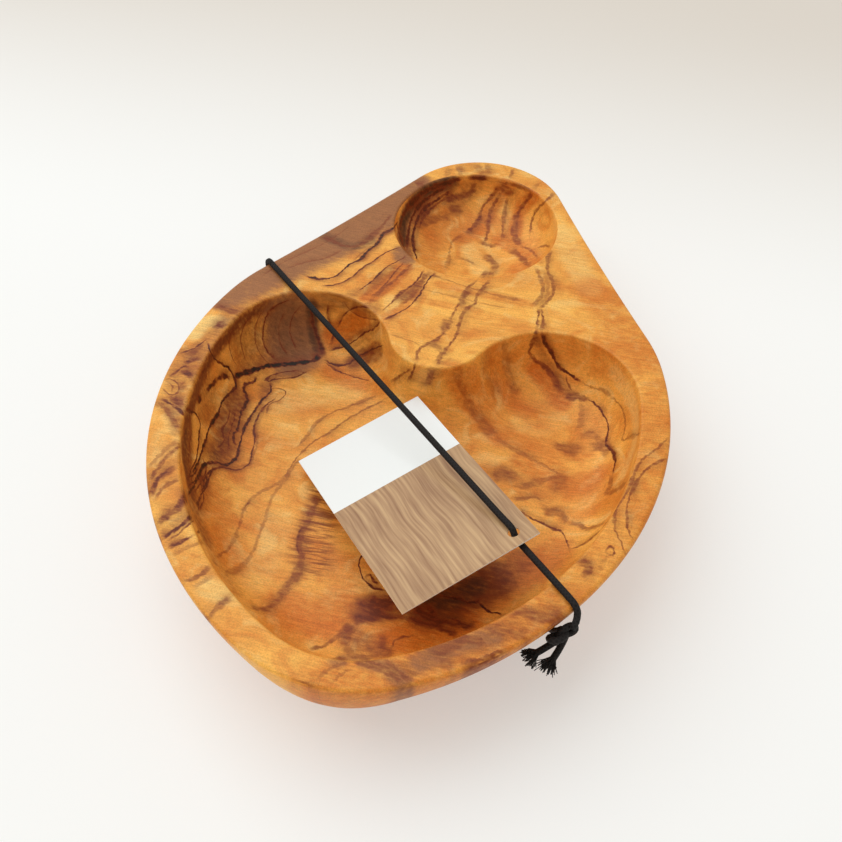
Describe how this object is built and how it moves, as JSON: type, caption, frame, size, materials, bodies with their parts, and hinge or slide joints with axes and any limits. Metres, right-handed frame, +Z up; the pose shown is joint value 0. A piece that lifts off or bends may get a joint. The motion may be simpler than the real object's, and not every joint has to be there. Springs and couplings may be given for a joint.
{
  "type": "olive dish",
  "caption": "Carved wooden olive dish with a heart-shaped hollow and a round well for the stones, with a card that hangs on an elastic tied round it.",
  "frame": {"origin": "middle of the dish's plan box, on the surface that the dish stands on, at the underside of the elastic", "axes": "+Y along the dish towards the well for the stones, +X across it, +Z up"},
  "size_m": [0.153, 0.2209, 0.0392],
  "materials": {
    "olive_wood": "satin",
    "black_elastic": "matte",
    "printed_card": "satin"
  },
  "bodies": {
    "dish": {"dish_body": "olive_wood", "elastic_over": "black_elastic", "elastic_far_drop": "black_elastic", "elastic_under": "black_elastic", "elastic_near_drop": "black_elastic", "elastic_knot": "black_elastic", "elastic_tail_left": "black_elastic", "elastic_tail_right": "black_elastic"},
    "card": {"swing_card": "printed_card"}
  },
  "joints": [
    {"name": "card_swivel", "type": "hinge", "parent": "dish", "child": "card", "pos_m": [0.03911, -0.05505, 0.037], "axis": [-0.2681, 0.0399, 0.9626], "range_deg": [0, 35]}
  ]
}
